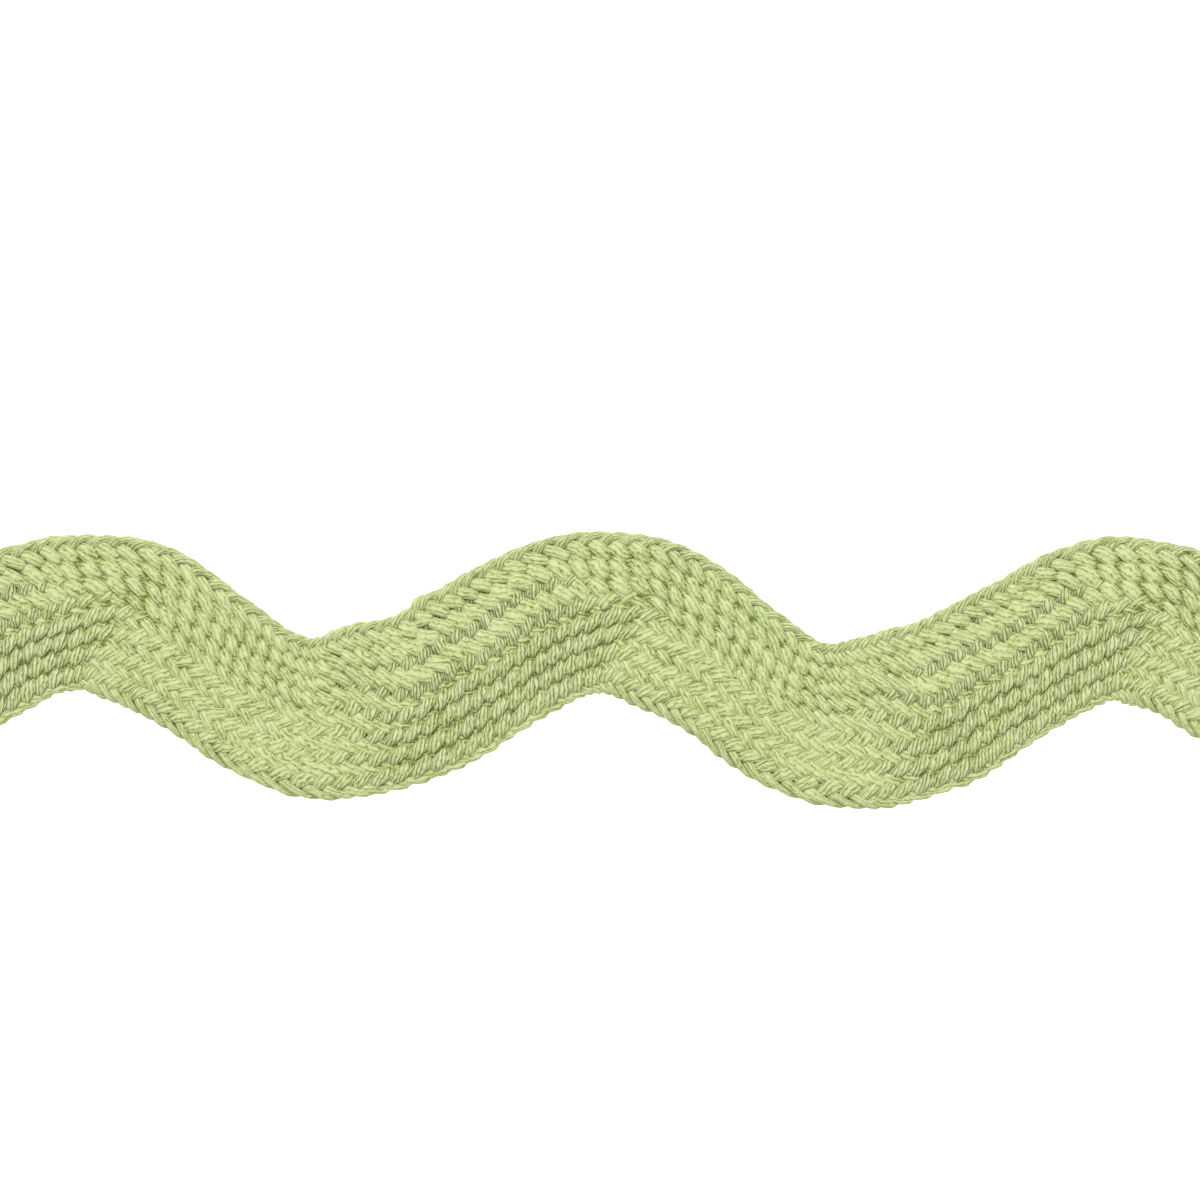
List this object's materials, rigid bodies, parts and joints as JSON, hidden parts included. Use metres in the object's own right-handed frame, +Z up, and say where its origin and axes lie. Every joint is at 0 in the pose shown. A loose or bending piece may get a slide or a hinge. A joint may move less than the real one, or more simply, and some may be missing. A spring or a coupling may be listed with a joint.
{
  "type": "cut length of ric rac braid",
  "caption": "Flat braid of thick soft cotton yarn, made in even waves and cut straight across at both ends, for trimming hems and edges.",
  "frame": {"origin": "on the surface the braid lies on, below the middle of its outline", "axes": "+X along the length, +Y across the waves towards the high turns, +Z up through the thickness"},
  "size_m": [0.2166, 0.0384, 0.0026],
  "materials": {
    "cotton": "matt soft-spun cotton yarn, pale leaf green"
  },
  "bodies": {
    "root": {"braid": "cotton"}
  },
  "joints": []
}
